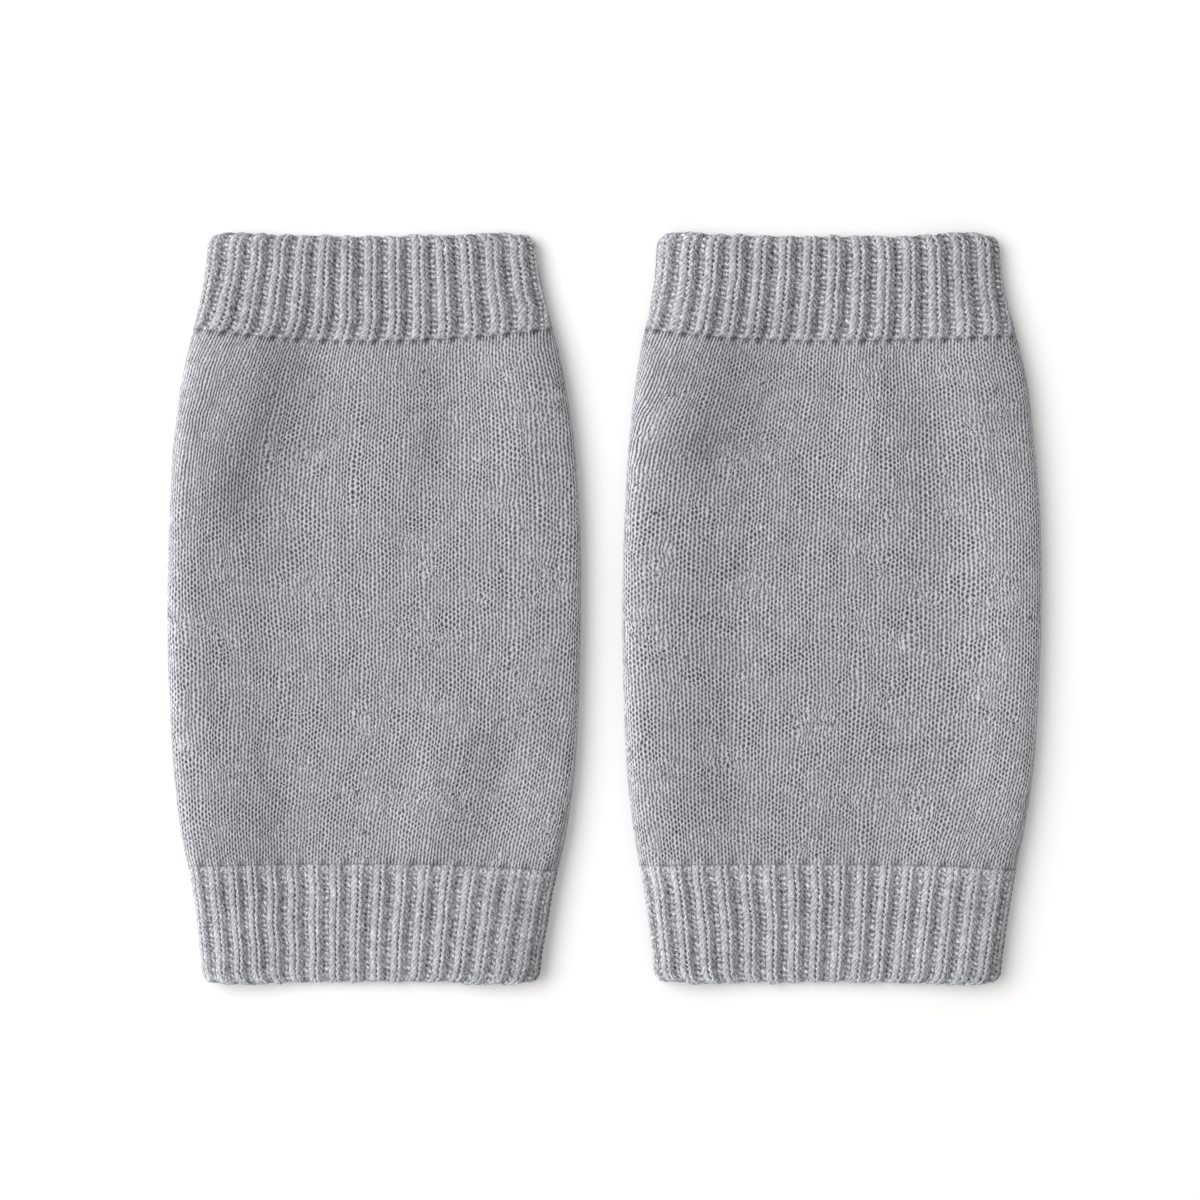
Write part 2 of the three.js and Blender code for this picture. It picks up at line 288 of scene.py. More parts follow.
class Pad:
    """The form of one laid pad, read off its CAD solids: outline, course lines and heights."""

    MAP_WIDE = 61  # columns of the height map, from fold to fold
    MAP_REACH = 0.94  # how near the folds it goes
    NEAR_MIDDLE = 3.2  # points less far out than this are on the middle line
    FAR_OUT = 30  # and points further out than this are at a fold
    UNDER_POINTS, FOLD_POINTS, FRONT_POINTS = 60, 41, 161  # of each part of a section

    def __init__(self, side):
        self.side = side
        self.names = [f"{side}_{stretch}" for stretch in STRETCHES]
        points = [node_points(name) for name in self.names]
        self.middle = (points[1][:, 0].min() + points[1][:, 0].max()) / 2
        for cloud in points:
            cloud[:, 0] -= self.middle
        self.read_lines(points)
        self.read_outline(np.vstack(points))
        self.read_heights(points)
        self.around = self.section(0.0)[1][-1]

    def read_lines(self, points):
        """Where each stretch begins and ends on the middle line, and how far courses rise at the folds."""
        central = [cloud[np.abs(cloud[:, 0]) < self.NEAR_MIDDLE, 1] for cloud in points]
        self.spans = {s: (line.min(), line.max()) for s, line in zip(STRETCHES, central)}
        at, left, right = [], [], []
        picks = ((points[0], np.min), (points[1], np.min), (points[1], np.max), (points[2], np.max))
        for cloud, pick in picks:
            at.append(pick(cloud[np.abs(cloud[:, 0]) < self.NEAR_MIDDLE, 1]))
            left.append(pick(cloud[cloud[:, 0] < -self.FAR_OUT, 1]) - at[-1])
            right.append(pick(cloud[cloud[:, 0] > self.FAR_OUT, 1]) - at[-1])
        self.low, self.high = at[0], at[-1]
        self.rise_left = smooth_line(at, left)
        self.rise_right = smooth_line(at, right)

    def read_outline(self, points):
        """How far out the folds lie at each y, from the outermost points of the solids."""
        for sign, name in ((-1, "left_curve"), (1, "right_curve")):
            outer = points[sign * points[:, 0] > self.FAR_OUT]
            outer = outer[np.argsort(outer[:, 1])]
            ys, xs = outer[:, 1], np.abs(outer[:, 0])
            reach = CORNER + 0.4
            widest = [i for i in range(len(ys)) if xs[i] > xs[np.abs(ys - ys[i]) < reach].max() - 0.02]
            fine = np.arange(ys.min(), ys.max(), 0.5)
            even = np.interp(fine, ys[widest], xs[widest])
            setattr(self, name, (fine, blurred(even[None], 5, 1)[0]))

    def corner(self, y):
        """How far the rounded corners have come in at a course line."""
        short = np.clip(CORNER - np.minimum(y - self.low, self.high - y), 0, CORNER)
        return CORNER - np.sqrt(CORNER * CORNER - short * short)

    def left(self, y):
        return np.interp(y + self.rise_left(y), *self.left_curve) - self.corner(y)

    def right(self, y):
        return np.interp(y + self.rise_right(y), *self.right_curve) - self.corner(y)

    def bow(self, x, y):
        """How far a course line at y has crept up or down at x."""
        left = self.rise_left(y) * (x / self.left(y)) ** 2
        right = self.rise_right(y) * (x / self.right(y)) ** 2
        return np.where(x < 0, left, right)

    def read_heights(self, points):
        """Height of the front layer, by rays down onto the solids, and thickness of their walls."""
        trees = []
        self.walls = {}
        down = Vector((0, 0, -1))
        for name, stretch, cloud in zip(self.names, STRETCHES, points):
            faces = [tuple(f.vertices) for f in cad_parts[name].data.polygons]
            tree = BVHTree.FromPolygons([tuple(p) for p in cloud], faces)
            low, high = self.spans[stretch]
            hit = tree.ray_cast(Vector((4.0, (low + high) / 2, 50)), down)[0]
            under = tree.ray_cast(hit + down * 0.05, down)[0]
            self.walls[stretch] = hit.z - under.z
            trees.append(tree)
        clear = 3.5  # keeps the rays off the rounded corners
        self.map_y = np.arange(self.low + clear, self.high - clear, 1.0)
        reaches = np.linspace(-self.MAP_REACH, self.MAP_REACH, self.MAP_WIDE)
        rows = []
        for y in self.map_y:
            x = self.across(reaches, y)
            yy = y + self.bow(x, y)
            row = []
            for a, b in zip(x, yy):
                hits = [tree.ray_cast(Vector((a, b, 50)), down)[0] for tree in trees]
                row.append(max((hit.z for hit in hits if hit), default=0))
            row = np.array(row)
            solid = row > 2
            rows.append(np.interp(reaches, reaches[solid], row[solid]) if solid.any() else rows[-1])
        self.map = blurred(blurred(np.array(rows), 3.0, 0), 1.6, 1)

    def across(self, reach, y):
        """x at a place between the folds: reach is -1 at the left one and 1 at the right one."""
        left, right = -self.left(y), self.right(y)
        return left + (right - left) * (reach + 1) / 2

    def height(self, reach, y):
        row = np.interp(y, self.map_y, np.arange(len(self.map_y)))
        inner = np.clip(reach, -self.MAP_REACH, self.MAP_REACH)
        column = (inner / self.MAP_REACH + 1) / 2 * (self.MAP_WIDE - 1)
        return looked_up(self.map, row, column)

    def section(self, y):
        """A closed line round the pad at a course line, from the middle of the underside by the left
        fold and the front: its points, and how far along it each one is."""
        left, right = -float(self.left(y)), float(self.right(y))
        edges = np.array([-self.MAP_REACH, self.MAP_REACH])
        rim = RIM_RISE * (1 - RIM_SINK * np.clip((y - SINK_FROM) / SINK_OVER, 0, 1))
        high_left, high_right = self.height(edges, np.array([y, y])) + rim
        small_left, small_right = high_left / 2, high_right / 2
        turn = np.linspace(0, math.pi, self.FOLD_POINTS)[1:-1]
        share = np.linspace(0, 1, self.FRONT_POINTS)
        front = left + small_left + (right - small_right - left - small_left) * share
        reach = 2 * (front - left) / (right - left) - 1
        near_fold = np.abs(1 - 2 * share) ** 10
        level = high_left + (high_right - high_left) * share
        inward = np.maximum(np.minimum(front - left, right - front) - RIM_FLAT, 0) / RIM_FALL
        over = self.height(reach, np.full_like(front, y)) + rim * np.exp(-inward * inward)
        over = over + line_bumps(CREASES[self.side], front, y + self.bow(front, y))
        over = over * (1 - near_fold) + level * near_fold
        x = [
            np.linspace(0, left + small_left, self.UNDER_POINTS),
            left + small_left - small_left * np.sin(turn),
            front,
            right - small_right + small_right * np.sin(turn),
            np.linspace(right - small_right, 0, self.UNDER_POINTS),
        ]
        z = [
            np.zeros(self.UNDER_POINTS),
            small_left - small_left * np.cos(turn),
            over,
            small_right + small_right * np.cos(turn),
            np.zeros(self.UNDER_POINTS),
        ]
        x, z = np.concatenate(x), np.concatenate(z)
        along = np.concatenate([[0], np.cumsum(np.hypot(np.diff(x), np.diff(z)))])
        return np.stack([x, y + self.bow(x, y), z], -1), along

    def slide(self, ys, shares):
        """How far sideways the wales have slid, in shares of the way round."""
        slides = smooth_line(*zip(*SLIDES[self.side]))(ys) * np.ones_like(shares)
        x = ((shares % 1) - 0.5) * self.around
        for place, width, rows in DRAGS[self.side]:
            slides = slides + smooth_line(*zip(*rows))(ys) * np.exp(-(((x - place) / width) ** 2))
        return slides / self.around

    def surface(self, ys, shares):
        """Points of the smooth cloth, with a course line for each row and shares saying how far round
        each point lies, and the directions out of the cloth there."""
        points = np.zeros(shares.shape + (3,))
        normals = np.zeros_like(points)
        step = 0.003
        shares = shares + self.slide(np.asarray(ys, float)[:, None], shares)

        def at(line, share):
            spots, along = line
            return np.stack([np.interp((share % 1) * along[-1], along, spots[:, k]) for k in range(3)], -1)

        for i, y in enumerate(ys):
            here, behind, ahead = (self.section(y + d) for d in (0, -0.4, 0.4))
            points[i] = at(here, shares[i])
            along = at(here, shares[i] + step) - at(here, shares[i] - step)
            up = at(ahead, shares[i]) - at(behind, shares[i])
            normal = np.cross(along, up)
            normals[i] = normal / np.linalg.norm(normal, axis=1, keepdims=True)
        points[..., 0] += self.middle
        return points, normals


def patterned(table, first, last):
    """The rows of a repeat's table, once for each repeat from first to last: where each line of points
    lies, in repeats, and the table's other columns as arrays."""
    rows = np.array([(k + row[0],) + row[1:] for k in range(first, last) for row in table], float)
    return rows.T


FAR_FROM_JOIN = 9  # courses; more than any join's painted shade reaches


class Sheet:
    """Gathers the rings of points of one closed piece of cloth, in the order in which they follow each
    other over the outside and back through the inside, and makes its mesh."""

    def __init__(self):
        self.points, self.tone, self.openness, self.from_join = [], [], [], []
        self.quads, self.quad_corners = [], []
        self.triangles, self.triangle_corners = [], []
        self.count = 0

    def add(self, points, knit_u, knit_v, repeats, shares, flat, tone, openness, from_join=FAR_FROM_JOIN):
        """Adds rings of points and the quads between them. knit_u and shares go round, knit_v and flat
        go along, and from_join is how many courses from the nearest join each point lies. Returns the
        first and the last ring, for joining."""
        rows, columns = points.shape[:2]
        index = self.count + np.arange(rows * columns).reshape(rows, columns)
        index = np.hstack([index, index[:, :1]])
        self.count += rows * columns
        self.points.append(points.reshape(-1, 3))
        self.tone.append(np.broadcast_to(tone, (rows, columns)).ravel())
        self.openness.append(np.broadcast_to(openness, (rows, columns)).ravel())
        self.from_join.append(np.broadcast_to(from_join, (rows, columns)).ravel())
        u = np.append(knit_u, knit_u[0] + repeats)
        s = np.append(shares, shares[0] + 1)
        corners = np.stack(np.broadcast_arrays(u[None], knit_v[:, None], s[None], flat[:, None]), -1)
        near, far = slice(0, -1), slice(1, None)
        order = ((near, near), (near, far), (far, far), (far, near))
        quads = np.stack([index[rc] for rc in order], -1)
        quad_corners = np.stack([corners[rc] for rc in order], -2)
        turned = (np.arange(rows - 1)[:, None] + np.arange(columns)) % 2 == 0
        quads[turned] = np.roll(quads[turned], -1, axis=1)  # so that the quads split evenly both ways
        quad_corners[turned] = np.roll(quad_corners[turned], -1, axis=1)
        self.quads.append(quads.reshape(-1, 4))
        self.quad_corners.append(quad_corners.reshape(-1, 4, 4))
        return (index[0], corners[0]), (index[-1], corners[-1])

    def join(self, first, second, flat=None):
        """Triangles between two rings that may have different numbers of points. flat, if given, is
        where the two rings lie on the unrolled cloth."""
        rings = [(index, corners.copy()) for index, corners in (first, second)]
        if flat:
            for (_, corners), level in zip(rings, flat):
                corners[:, 3] = level
        (near, near_corners), (far, far_corners) = rings
        a = b = 0
        while a < len(near) - 1 or b < len(far) - 1:
            on_near = a < len(near) - 1
            if on_near and b < len(far) - 1:
                on_near = near_corners[a + 1, 2] <= far_corners[b + 1, 2]
            if on_near:
                self.triangles.append((near[a], near[a + 1], far[b]))
                self.triangle_corners.append((near_corners[a], near_corners[a + 1], far_corners[b]))
                a += 1
            else:
                self.triangles.append((near[a], far[b + 1], far[b]))
                self.triangle_corners.append((near_corners[a], far_corners[b + 1], far_corners[b]))
                b += 1

    def make(self, name, material):
        points = np.vstack(self.points) * MM
        quads = np.vstack(self.quads)
        mesh = bpy.data.meshes.new(name)
        mesh.from_pydata(points.tolist(), [], quads.tolist() + [tuple(t) for t in self.triangles])
        quad_corners = np.vstack(self.quad_corners).reshape(-1, 4)
        triangle_corners = np.array(self.triangle_corners).reshape(-1, 4)
        corners = np.vstack([quad_corners, triangle_corners])
        knit = mesh.uv_layers.new(name="knit")
        knit.data.foreach_set("uv", np.ascontiguousarray(corners[:, :2]).ravel())
        flat = mesh.uv_layers.new(name="OFBake")
        unrolled = np.stack([AROUND[0] + AROUND[1] * corners[:, 2], corners[:, 3]], -1)
        flat.data.foreach_set("uv", unrolled.ravel())
        # Besides openness and the distance from a join, the points carry the painted light and shade.
        for label in ("tone", "openness", "from_join"):
            attribute = mesh.attributes.new(label, "FLOAT", "POINT")
            attribute.data.foreach_set("value", np.concatenate(getattr(self, label)))
        mesh.shade_smooth()
        mesh.materials.append(material)
        mesh.update()
        piece = bpy.data.objects.new(name, mesh)
        bpy.context.scene.collection.objects.link(piece)
        return piece


# Where the cloth lies on its unrolled map: across it (from, how wide), then up it (from, to).
AROUND = (0.002, 0.995)
OUTSIDE = (0.01, 0.82)
INSIDE = (0.86, 0.98)
INSIDE_ROWS = 20
INSIDE_OPENNESS = 0.6
LIP_OPENNESS = 0.8
LIP_ROOM, LIP_STEP = 0.045, 0.004  # of a cuff's map: for a whole lower lip, and for each ring of a lip
BESIDE_LIP = 0.95  # how much of its height on the map the rest of a cuff keeps


def inner_wall(pad, sheet, stretch, low, high, columns, knit_u, repeats, courses):
    """Adds the inner wall from high down to low."""
    ys = np.linspace(high, low, INSIDE_ROWS)
    points, normals = pad.surface(ys, np.repeat(columns[None], INSIDE_ROWS, 0))
    points = points - normals * pad.walls[stretch]
    knit_v = np.linspace(courses, 0, INSIDE_ROWS)
    flat = np.linspace(*INSIDE, INSIDE_ROWS)
    return sheet.add(points, knit_u, knit_v, repeats, columns, flat, 1.0, INSIDE_OPENNESS)


def close_tube(sheet, outer, inner):
    """Joins the outside to the inner wall at both ends."""
    sheet.join(outer[1], inner[0])
    sheet.join(inner[1], outer[0], (INSIDE[1], 1.0))


def make_body(side, pad):
    """The plain-knit stretch of a pad."""
    stretch = "body"
    first, last = FINE_WALES
    under = patterned(PLAIN_BACK, 0, first)
    front = patterned(PLAIN, first, last)
    beyond = patterned(PLAIN_BACK, last, WALES_ROUND)
    place, lean, even, odd = np.hstack([under, front, beyond])
    columns = len(place)
    rows = 2 * BODY_COURSES + 1
    v = np.arange(rows) / 2
    low, high = pad.spans[stretch]
    ys = np.linspace(low - JOIN_REACH, high + JOIN_REACH, rows)
    parity = np.where(np.arange(rows) % 2 == 0, 1, -1)[:, None]
    ends = np.clip(np.minimum(v, BODY_COURSES - v) / 3, 0, 1)[:, None]

    streaks = soft_noise(rows, columns, 50, 14) + 0.7 * soft_noise(rows, columns, 18, 20)
    gaps = soft_noise(rows, columns, 14, 3)
    stitches = rng.normal(size=(BODY_COURSES + 1, WALES_ROUND))
    each = stitches[v.astype(int)][:, place.astype(int)]
    drawn = line_bumps(DRAWN[side], (place[None] / WALES_ROUND - 0.5) * pad.around, ys[:, None])
    openness = np.clip(0.95 + drawn + 0.03 * streaks + 0.06 * gaps + 0.09 * each, 0.1, 1.3)
    loose = (rng.random(stitches.shape) < 0.012)[v.astype(int)][:, place.astype(int)]

    wander = 0.10 * soft_noise(rows, columns, 24, 10) + 0.06 * soft_noise(rows, columns, 5, 7)
    wander += 0.035 * soft_noise(rows, columns, 2, 3)
    slips = loose * rng.normal(scale=0.10, size=(rows, columns))
    shares = (place + lean * parity * STRAND_SWAY * openness + (wander + slips) * ends) / WALES_ROUND
    points, normals = pad.surface(ys, shares)
    heights = np.where(parity > 0, even, odd) * (0.35 + 0.65 * openness)
    for cuff, from_join in (("thigh_cuff", BODY_COURSES - v), ("calf_cuff", v)):
        near_join = np.exp(-((from_join / 0.9) ** 2))[:, None]
        heights = heights + near_join * (join_height(side, cuff, place / WALES_ROUND) - heights)
    points += normals * heights[..., None]
    course = (high - low) / BODY_COURSES
    lift = 0.17 * soft_noise(rows, columns, 7, 10) + 0.12 * soft_noise(rows, columns, 3, 6)
    points[..., 1] += course * ends * (lift + 0.3 * slips)

    painted_near_joins = join_painted_shade(side, "thigh_cuff", place / WALES_ROUND, BODY_COURSES - v)
    painted_near_joins *= join_painted_shade(side, "calf_cuff", place / WALES_ROUND, v)
    at = rib_place(side, "calf_cuff", place / WALES_ROUND)
    crests = 0.18 * near(at, 0.57, 0.07) + 0.12 * near(at, 0.22, 0.10)
    painted_near_joins *= 1 + np.exp(-((v / 2.2) ** 2))[:, None] * crests
    # Painted shade near the joins, times the painted light and shade of the front layer.
    tone = painted_near_joins * painted_light_at(pad, points)
    sheet = Sheet()
    from_join = np.minimum(v, BODY_COURSES - v)[:, None]
    flat = np.linspace(*OUTSIDE, rows)
    outer = sheet.add(points, place, v, WALES_ROUND, place / WALES_ROUND, flat, tone, openness, from_join)
    inner_places = np.arange(0, WALES_ROUND, 4.0)
    inner_shares = inner_places / WALES_ROUND
    inner = inner_wall(
        pad, sheet, stretch, ys[0], ys[-1], inner_shares, inner_places, WALES_ROUND, BODY_COURSES
    )
    close_tube(sheet, outer, inner)
    return sheet


def painted_light_at(pad, points):
    """The painted light and shade of the front layer at points of the cloth, as a factor on the yarn's
    lightness.
    """
    over = np.clip((points[..., 2] - 0.6) / 1.6, 0, 1)
    return 1 + over * line_bumps(PAINTED_SHADE_LINES[pad.side], points[..., 0] - pad.middle, points[..., 1])


def rib_place(side, stretch, shares):
    """Where in the repeat of a rib something lies that is at a share of the way round."""
    return (shares * RIB_REPEATS[stretch] + RIB_PHASES[f"{side}_{stretch}"]) % 1


def join_height(side, stretch, shares):
    """The height of a rib's relief at its join, at shares of the way round."""
    table = np.array(RIB)
    return JOIN_DEPTH * np.interp(rib_place(side, stretch, shares), table[:, 0], table[:, 1], period=1)


def near(places, middle, width):
    """1 at the middle, falling softly to 0 past its width, on places that repeat after 1."""
    away = (places - middle + 0.5) % 1 - 0.5
    return np.exp(-((away / width) ** 2))


def join_painted_shade(side, stretch, shares, from_join):
    """The painted shade of the cloth near a join, darker in the dips between the strands that run on across
    it.
    from_join is in courses."""
    at = rib_place(side, stretch, shares)[None]
    if stretch == "thigh_cuff":
        dips = 0.78 * near(at, 0.76, 0.13) + 0.68 * near(at, 0.27, 0.11) - 0.10 * near(2 * at, 0.02, 0.3)
        reach = np.exp(-((np.asarray(from_join) / 0.80) ** 4))
    else:
        dips = 0.40 * near(at, 0.90, 0.17)
        reach = np.exp(-((np.asarray(from_join) / 1.2) ** 4))
    return 1 - reach[:, None] * dips


def rib_columns(repeats, phase):
    """The rows of RIB once for each repeat, all round from the phase on."""
    columns = patterned(RIB, 0, repeats)
    columns[0] = np.where(columns[0] < phase, columns[0] + repeats, columns[0])
    order = np.argsort(columns[0])
    return [column[order] for column in columns]


def make_cuff(side, pad, stretch):
    """A ribbed stretch of a pad, with a rounded lip at its free edge."""
    name = f"{side}_{stretch}"
    repeats, courses, phase = RIB_REPEATS[stretch], RIB_COURSES[stretch], RIB_PHASES[name]
    at_top = stretch == "thigh_cuff"
    place, height, sway, bead, beat = rib_columns(repeats, phase)
    columns = len(place)
    wall = pad.walls[stretch]
    low, high = pad.spans[stretch]
    rows = RIB_ROWS * courses + 1
    v = np.arange(rows) / RIB_ROWS
    if at_top:
        ys = np.linspace(low - JOIN_REACH, high - wall / 2, rows)
        from_join = v
    else:
        ys = np.linspace(low + wall / 2, high + JOIN_REACH, rows)
        from_join = courses - v
    ends = np.clip(from_join / 3, 0, 1)[:, None]
    fade = JOIN_DEPTH + (1 - JOIN_DEPTH) * np.clip(from_join / 1.5, 0, 1)[:, None]

    openness = 0.9 + 0.22 * soft_noise(rows, columns, 16, 14) + 0.12 * rng.normal(size=(rows, columns))
    openness = np.clip(openness, 0.2, 1.3)
    wander = 0.025 * soft_noise(rows, columns, 30, 40) + 0.012 * soft_noise(rows, columns, 4, 9)
    wander += 0.008 * soft_noise(rows, columns, 2, 3)
    swing = np.cos(2 * math.pi * (v[:, None] + beat[None]))
    shares = (place - phase + sway * swing * openness + wander * ends) / repeats
    points, normals = pad.surface(ys, shares)
    heights = height * fade * (1 + 0.10 * soft_noise(rows, columns, 12, 10))
    heights = heights + bead * swing * openness * fade
    heights += np.clip(-height - 0.3, 0, 0.6) * 0.16 * rng.normal(size=(rows, columns))
    at_fold = near(2 * (place - phase) / repeats, 0.5, 0.14)
    heights = np.clip(heights * (1 - 0.45 * at_fold), -0.75 * wall, 0)
    points += normals * heights[..., None]
    course = abs(ys[-1] - ys[0]) / courses
    lift = 0.10 * soft_noise(rows, columns, 8, 12) + 0.10 * soft_noise(rows, columns, 3, 4)
    points[..., 1] += course * ends * lift

    edge, outward = (-1, 1) if at_top else (0, -1)
    lip = lip_rings(pad, wall, ys[edge], shares[edge], heights[edge], points[edge], normals[edge], outward)
    lip_v = np.array([wall / 2 * math.radians(turn) / course for turn in LIP_TURNS])
    flat = (0 if at_top else LIP_ROOM) + np.linspace(*OUTSIDE, rows) * BESIDE_LIP
    lip_flat = LIP_STEP * np.arange(1, len(LIP_TURNS) + 1)
    flat_edge = flat[-1] if at_top else LIP_ROOM
    near_edge = np.clip(1 - (courses - from_join) / 1.8, 0, 1)[:, None]
    # Painted shade near the join, times the painted light and shade of the front layer.
    tone = join_painted_shade(side, stretch, (place - phase) / repeats, from_join * 1.6) * painted_light_at(pad, points)
    # Next to the free edge the deep parts of the rib get less painted shade.
    tone = tone * (1 + 0.35 * near_edge * np.clip(-height - 0.3, 0, 0.6))

    def with_lip(main, lip):
        """Rows up the cuff, with the lip's past its free edge."""
        return np.concatenate([main, lip] if at_top else [lip[::-1], main])

    points = with_lip(points, lip)
    v_all = with_lip(v, v[edge] + outward * lip_v)
    flat = with_lip(flat, flat_edge + outward * lip_flat)
    tone = with_lip(tone, np.ones((len(LIP_TURNS), columns)))
    openness = with_lip(openness, np.full((len(LIP_TURNS), columns), LIP_OPENNESS))
    sheet = Sheet()
    v_join = (v_all if at_top else courses - v_all)[:, None]
    around = (place - phase) / repeats
    outer = sheet.add(points, place, v_all, repeats, around, flat, tone, openness, v_join)
    inner_places = phase + np.arange(0, repeats, 0.5)
    inner = inner_wall(
        pad, sheet, stretch, ys[0], ys[-1], (inner_places - phase) / repeats, inner_places, repeats, courses
    )
    close_tube(sheet, outer, inner)
    return sheet


def lip_rings(pad, wall, y, shares, heights, edge_points, normals, outward):
    """Rings that turn from the outside over the free edge to the inner wall."""
    rings = []
    middle, _ = pad.surface(np.array([y]), shares[None])
    drift = edge_points - middle[0] - normals * heights[:, None]
    radius = (wall + heights) / 2
    for turn in LIP_TURNS:
        angle = math.radians(turn)
        reach = wall / 2 * math.sin(angle)
        base, _ = pad.surface(np.array([y + outward * reach]), shares[None])
        depth = (heights - wall) / 2 + radius * math.cos(angle)
        ring = base[0] + drift + normals * depth[:, None]
        ring[:, 1] -= outward * (wall / 2 - radius) * math.sin(angle)
        rings.append(ring)
    return np.array(rings)


class Value:
    """A shader socket that Python's operators work on, each adding a Math node."""

    def __init__(self, shader, socket):
        self.shader, self.socket = shader, socket

    def math(self, operation, *others):
        inputs = {i: other for i, other in enumerate((self,) + others)}
        return self.shader.node("ShaderNodeMath", {"operation": operation}, inputs)

    def __add__(self, other):
        return self.math("ADD", other)

    __radd__ = __add__

    def __mul__(self, other):
        return self.math("MULTIPLY", other)

    __rmul__ = __mul__

    def __sub__(self, other):
        return self.math("SUBTRACT", other)

    def __rsub__(self, other):
        return self.shader.node("ShaderNodeMath", {"operation": "SUBTRACT"}, {0: other, 1: self})

    def __truediv__(self, other):
        return self.math("DIVIDE", other)


class Shader:
    """A material being built."""

    def __init__(self, name):
        self.material = bpy.data.materials.new(name)
        self.material.use_nodes = True
        self.tree = self.material.node_tree
        self.surface = self.tree.nodes["Principled BSDF"]

    def node(self, kind, settings, inputs, output=0):
        """Adds a node, sets it up, fills its inputs, and gives one of its outputs."""
        node = self.tree.nodes.new(kind)
        for key, value in settings.items():
            setattr(node, key, value)
        for key, value in inputs.items():
            self.fill(node.inputs[key], value)
        return Value(self, node.outputs[output])

    def fill(self, socket, value):
        if isinstance(value, Value):
            self.tree.links.new(value.socket, socket)
        else:
            socket.default_value = value

    def set(self, **inputs):
        for key, value in inputs.items():
            self.fill(self.surface.inputs[key.replace("_", " ")], value)

    def knit(self):
        """The place in the knitting: repeats round and courses up."""
        place = self.node("ShaderNodeUVMap", {"uv_map": "knit"}, {})
        u, v = (self.node("ShaderNodeSeparateXYZ", {}, {0: place}, axis) for axis in (0, 1))
        return place, u, v

    def attribute(self, name):
        return self.node("ShaderNodeAttribute", {"attribute_name": name}, {}, "Fac")

    def noise(self, scale, detail, vector=None):
        where = vector or self.node("ShaderNodeTexCoord", {}, {}, "Object")
        return self.node("ShaderNodeTexNoise", {}, {"Vector": where, "Scale": scale, "Detail": detail})

    def from_middle(self, coordinate, place):
        """How far a coordinate is from a place in its repeat, from -0.5 to 0.5."""
        return (coordinate - (place - 0.5)).math("FRACT") - 0.5

    def ramp(self, value, low, high):
        """0 below low, 1 above high, smooth between; high may be the lower one."""
        return self.node(
            "ShaderNodeMapRange", {"interpolation_type": "SMOOTHSTEP"}, {"Value": value, 1: low, 2: high}
        )

    def spots(self, u, v, place, rise, wide, tall, slant=0, tilt=0):
        """Soft oval spots, one in each repeat and course; wide and tall are half their size. slant leans
        an upright one to the left, and tilt lowers the right end of a lying one."""
        across, up = self.from_middle(u, place), self.from_middle(v, rise)
        leaning = (across + up * slant) / wide
        lying = (up + across * tilt) / tall
        return self.ramp(leaning * leaning + lying * lying, 1.5, 0.3)

    def profile(self, value, stops):
        """A level that goes from stop to stop, each (value, level)."""
        result = self.node("ShaderNodeValToRGB", {}, {0: value})
        elements = result.socket.node.color_ramp.elements
        elements[0].position, elements[1].position = stops[0][0], stops[-1][0]
        elements[0].color = (stops[0][1],) * 3 + (1,)
        elements[1].color = (stops[-1][1],) * 3 + (1,)
        for place, level in stops[1:-1]:
            elements.new(place).color = (level,) * 3 + (1,)
        return result

    def flecks(self, scale, stretch, turn):
        """Small uneven flecks about 0, longer along the pad than across, turned a little."""
        where = self.node("ShaderNodeTexCoord", {}, {}, "Object")
        shaped = {"Vector": where, "Rotation": (0, 0, turn), "Scale": (stretch, 1 / stretch, stretch)}
        return self.noise(scale, 1.5, self.node("ShaderNodeMapping", {}, shaped)) - 0.5

    def scaled(self, place, across, along):
        stretched = {0: place, 1: (across, along, 1)}
        return self.node("ShaderNodeVectorMath", {"operation": "MULTIPLY"}, stretched)

    def patches(self, place, across, along):
        """Soft patches from 0 to 1, so many to a repeat across and to a course along."""
        return self.ramp(self.noise(1.0, 1, self.scaled(place, across, along)), 0.36, 0.64)

    def strokes(self, value):
        """0 where a value is whole and 1 halfway between whole numbers: the dark lines between strokes."""
        return self.ramp(((value + 0.5).math("FRACT") - 0.5).math("ABSOLUTE"), 0.22, 0.5)

    def mix(self, factor, a, b):
        colours = {"Factor": factor, 6: a, 7: b}
        return self.node("ShaderNodeMix", {"data_type": "RGBA"}, colours, 2)

    def stitch_chance(self, place):
        """A random number for each stitch."""
        stitch = self.node("ShaderNodeVectorMath", {"operation": "FLOOR"}, {0: place})
        return self.node("ShaderNodeTexWhiteNoise", {"noise_dimensions": "2D"}, {"Vector": stitch})


COOL = (0.965, 0.986, 1.066)  # red, green and blue of the yarn, for a brightness of 1

# How light the plain knit is: the strands' own lightness, and painted shade in the valleys between wales
# and in the holes.
STRAND = 0.485
VALLEY_SHADE = 0.30
HOLE_SHADE = 0.125
HOLE_SIZE = (0.14, 0.38)  # half its width in wales and half its height in courses
DARKEST = 0.04
JOIN_LEVEL = 0.36  # what a rib's light and dark both draw nearer to at its join


def grey(level):
    """The yarn's cool grey at a brightness."""
    return tuple(part * level for part in COOL) + (1,)


def yarn_finish(shader, colour, height):
    """Gives a material the matte, slightly fuzzy finish of spun yarn."""
    bump = shader.node("ShaderNodeBump", {}, {"Strength": 0.5, "Distance": 0.0002, "Height": height})
    shader.set(Base_Color=colour, Roughness=0.92, Normal=bump, Specular_IOR_Level=0.25)
    shader.set(Sheen_Weight=0.15, Sheen_Roughness=0.5)
    return shader.material


